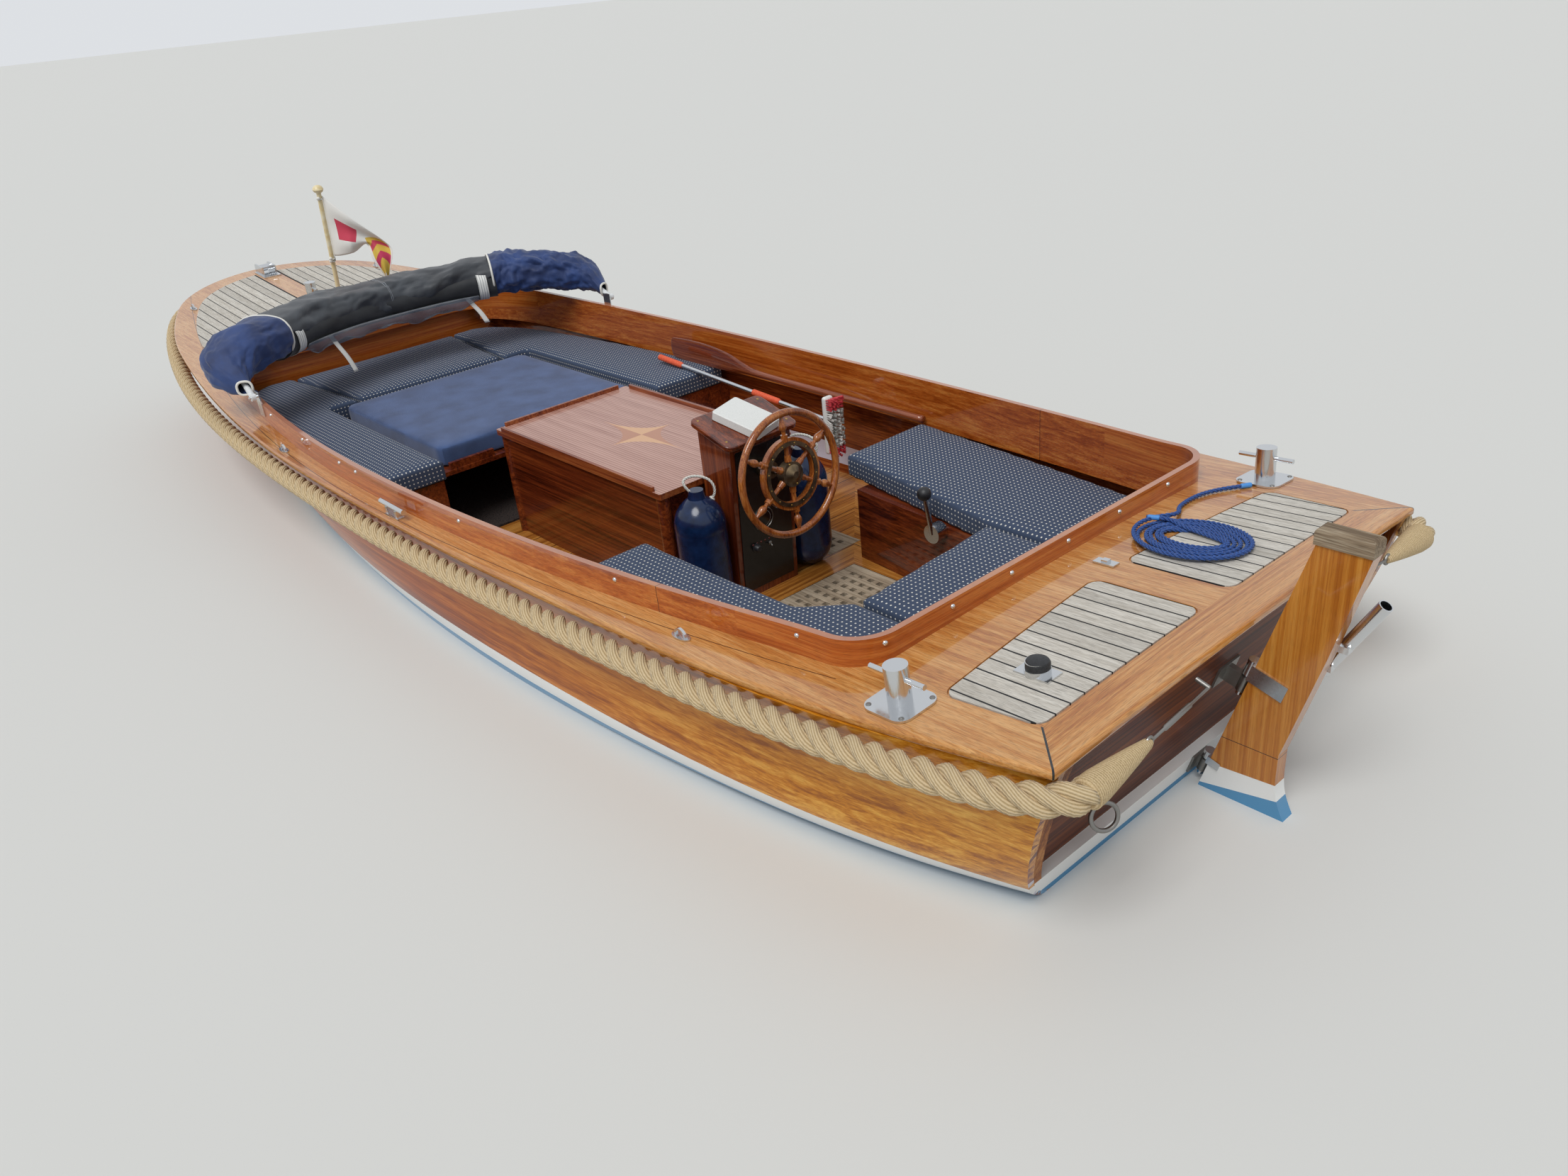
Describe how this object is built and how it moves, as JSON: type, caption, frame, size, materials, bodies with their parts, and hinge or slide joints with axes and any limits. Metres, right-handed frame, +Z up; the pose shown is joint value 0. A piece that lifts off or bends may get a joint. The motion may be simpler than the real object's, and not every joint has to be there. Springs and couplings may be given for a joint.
{
  "type": "motor launch",
  "caption": "Open wooden motor launch afloat, with a rope fender round its sheer, a long coaming, an engine box, a wheel console, a folded hood and a transom-hung rudder.",
  "frame": {"origin": "on the waterline, on the centre plane, 3.26 m forward of the deck's after edge", "axes": "+X forward, +Y to port, +Z up"},
  "size_m": [7.0326, 2.2182, 1.7904],
  "materials": {
    "varnished_planking": "gloss varnish",
    "varnished_mahogany": "gloss varnish",
    "antifouling": "matt",
    "teak": "bare, weathered",
    "deck_board": "gloss varnish",
    "sole_board": "satin",
    "oak": "satin",
    "steel": "satin",
    "bronze": "satin",
    "iron": "painted",
    "black_panel": "gloss",
    "white_plastic": "satin",
    "blue_vinyl": "gloss",
    "navy_fabric": "woven",
    "denim": "woven",
    "charcoal_cover": "woven",
    "carpet": "tufted",
    "white_bunting": "woven",
    "rope": "three-strand",
    "blue_rope": "three-strand",
    "aluminium": "satin"
  },
  "bodies": {
    "hull": {"aft_deck": "deck_board", "aft_seats": "varnished_mahogany", "bollards": "steel", "brush": "aluminium", "bulkheads": "varnished_mahogany", "carlins": "varnished_mahogany", "carpet": "carpet", "coaming_aft": "varnished_mahogany", "coaming_fore": "varnished_mahogany", "coaming_port": "varnished_mahogany", "coaming_starboard": "varnished_mahogany", "console": "varnished_mahogany", "console_top": "varnished_mahogany", "cushions_aft": "navy_fabric", "cushions_fore": "navy_fabric", "deck_fittings": "steel", "engine": "iron", "engine_box": "varnished_mahogany", "fairlead": "steel", "fenders": "blue_vinyl", "flagstaff": "varnished_planking", "foredeck": "deck_board", "forward_seats": "varnished_mahogany", "gratings": "sole_board", "gudgeons": "steel", "hood_feet": "steel", "hull_bottom": "antifouling", "hull_sides": "varnished_planking", "infill_board": "varnished_mahogany", "infill_cushion": "denim", "instrument_panel": "black_panel", "keel": "antifouling", "mooring_coil": "blue_rope", "mooring_tail": "blue_rope", "paddle": "varnished_mahogany", "pennant": "white_bunting", "rope_ends": "rope", "rope_fender": "rope", "shaft_tube": "bronze", "side_decks": "deck_board", "sole": "sole_board", "teak_panels": "teak", "throttle": "steel", "transom": "varnished_planking", "transom_ring": "steel", "wheel_boss": "bronze", "white_box": "white_plastic"},
    "engine_lid": {"engine_lid": "varnished_mahogany"},
    "hood": {"hood": "charcoal_cover", "hood_legs": "steel"},
    "propeller": {"propeller": "bronze"},
    "rudder": {"rudder": "varnished_planking", "rudder_cap": "oak", "rudder_straps": "steel", "staff_socket": "steel"},
    "wheel": {"wheel_hub": "bronze", "wheel_wood": "varnished_mahogany"}
  },
  "joints": [
    {"name": "rudder_turn", "type": "hinge", "parent": "hull", "child": "rudder", "pos_m": [-3.126, 0, 0], "axis": [-0.2873, 0, 0.9578], "range_deg": [-35, 35]},
    {"name": "wheel_turn", "type": "hinge", "parent": "hull", "child": "wheel", "pos_m": [-1.543, 0, 0.504], "axis": [0.9945, 0, -0.1045], "range_deg": [-350, 350]},
    {"name": "propeller_spin", "type": "hinge", "parent": "hull", "child": "propeller", "pos_m": [-2.912, 0, -0.29], "axis": [1, 0, 0], "continuous": true},
    {"name": "lid_lift", "type": "hinge", "parent": "hull", "child": "engine_lid", "pos_m": [-0.066, 0, 0.4346], "axis": [0, 1, 0], "range_deg": [0, 75]},
    {"name": "hood_raise", "type": "hinge", "parent": "hull", "child": "hood", "pos_m": [0.928, 0, 0.59], "axis": [0, -1, 0], "range_deg": [0, 60]}
  ],
  "couplings": [
    {"joint": "wheel_turn", "follows": "rudder_turn", "ratio": 10}
  ]
}
